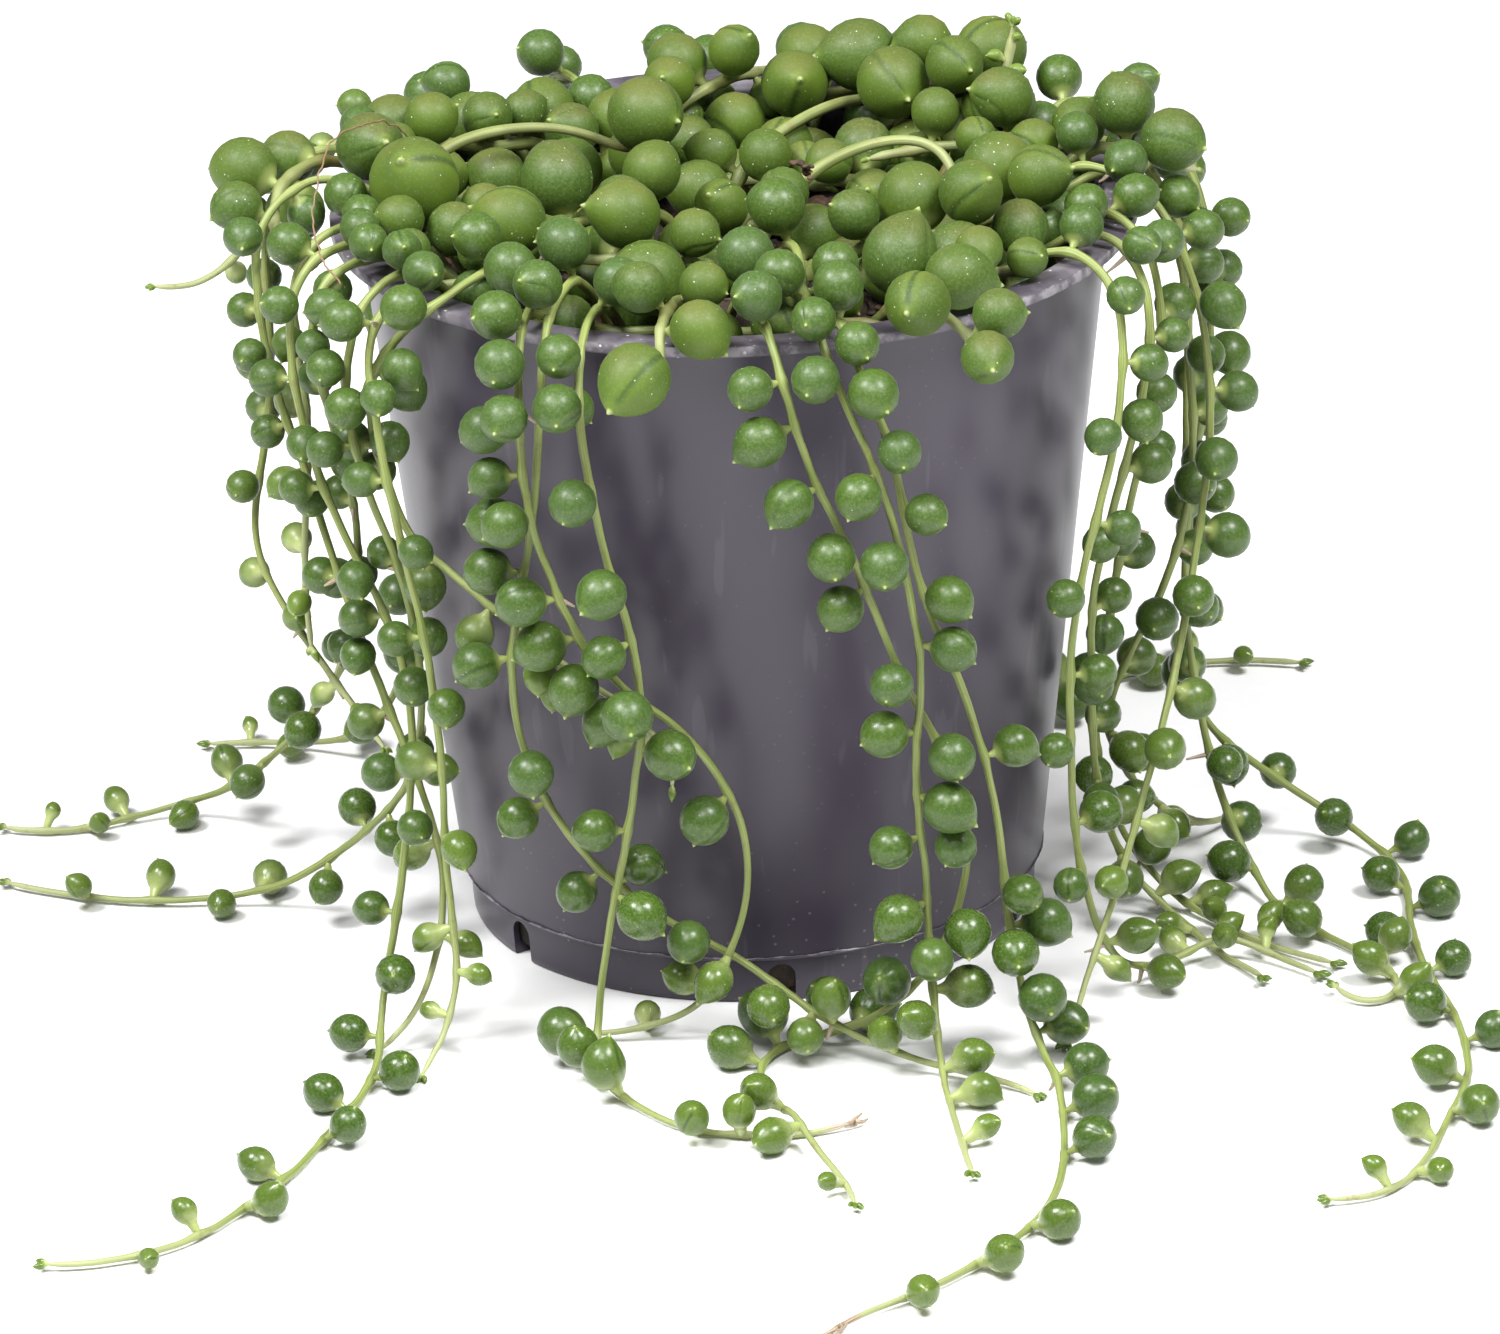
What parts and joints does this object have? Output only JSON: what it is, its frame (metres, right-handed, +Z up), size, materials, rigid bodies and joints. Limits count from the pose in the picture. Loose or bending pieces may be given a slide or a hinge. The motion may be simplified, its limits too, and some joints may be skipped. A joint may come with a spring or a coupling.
{
  "type": "potted string of pearls",
  "caption": "Trailing succulent with bead-like leaves in a round tapered nursery pot. Its stems hang over the rim and the longest ones lie on the surface around the foot.",
  "frame": {"origin": "centre of the pot's flat underside, on the surface that it stands on", "axes": "+Z up along the pot's axis, -Y towards the front of the plant, +X to the right seen from the front"},
  "size_m": [0.2266, 0.2543, 0.1272],
  "materials": {
    "pot_plastic": "thin dark grey-purple moulded plastic with a soft shine, dusty on the rim",
    "potting_mix": "coarse dark brown bark and peat mix, matt",
    "pearl_leaf": "smooth fleshy green leaves with a thin waxy bloom, on pale green stems"
  },
  "bodies": {
    "root": {"nursery_pot": "pot_plastic", "potting_mix": "potting_mix", "trailing_stem_01": "pearl_leaf", "trailing_stem_02": "pearl_leaf", "trailing_stem_03": "pearl_leaf", "trailing_stem_04": "pearl_leaf", "trailing_stem_05": "pearl_leaf", "trailing_stem_06": "pearl_leaf", "trailing_stem_07": "pearl_leaf", "trailing_stem_08": "pearl_leaf", "trailing_stem_09": "pearl_leaf", "trailing_stem_10": "pearl_leaf", "trailing_stem_11": "pearl_leaf", "trailing_stem_12": "pearl_leaf", "trailing_stem_13": "pearl_leaf", "trailing_stem_14": "pearl_leaf", "trailing_stem_15": "pearl_leaf", "trailing_stem_16": "pearl_leaf", "trailing_stem_17": "pearl_leaf", "trailing_stem_18": "pearl_leaf", "trailing_stem_19": "pearl_leaf", "trailing_stem_20": "pearl_leaf", "trailing_stem_21": "pearl_leaf", "trailing_stem_22": "pearl_leaf", "trailing_stem_23": "pearl_leaf", "trailing_stem_24": "pearl_leaf", "trailing_stem_25": "pearl_leaf", "trailing_stem_26": "pearl_leaf", "trailing_stem_27": "pearl_leaf", "crown_stem_01": "pearl_leaf", "crown_stem_02": "pearl_leaf", "crown_stem_03": "pearl_leaf", "crown_stem_04": "pearl_leaf", "crown_stem_05": "pearl_leaf", "crown_stem_06": "pearl_leaf", "crown_stem_07": "pearl_leaf", "crown_stem_08": "pearl_leaf", "crown_stem_09": "pearl_leaf", "crown_stem_10": "pearl_leaf", "crown_stem_11": "pearl_leaf", "crown_stem_12": "pearl_leaf", "crown_stem_13": "pearl_leaf", "crown_stem_14": "pearl_leaf", "crown_stem_15": "pearl_leaf", "crown_stem_16": "pearl_leaf", "crown_stem_17": "pearl_leaf", "crown_stem_18": "pearl_leaf", "crown_stem_19": "pearl_leaf", "crown_stem_20": "pearl_leaf", "crown_stem_21": "pearl_leaf", "crown_stem_22": "pearl_leaf", "crown_stem_23": "pearl_leaf"}
  },
  "joints": []
}
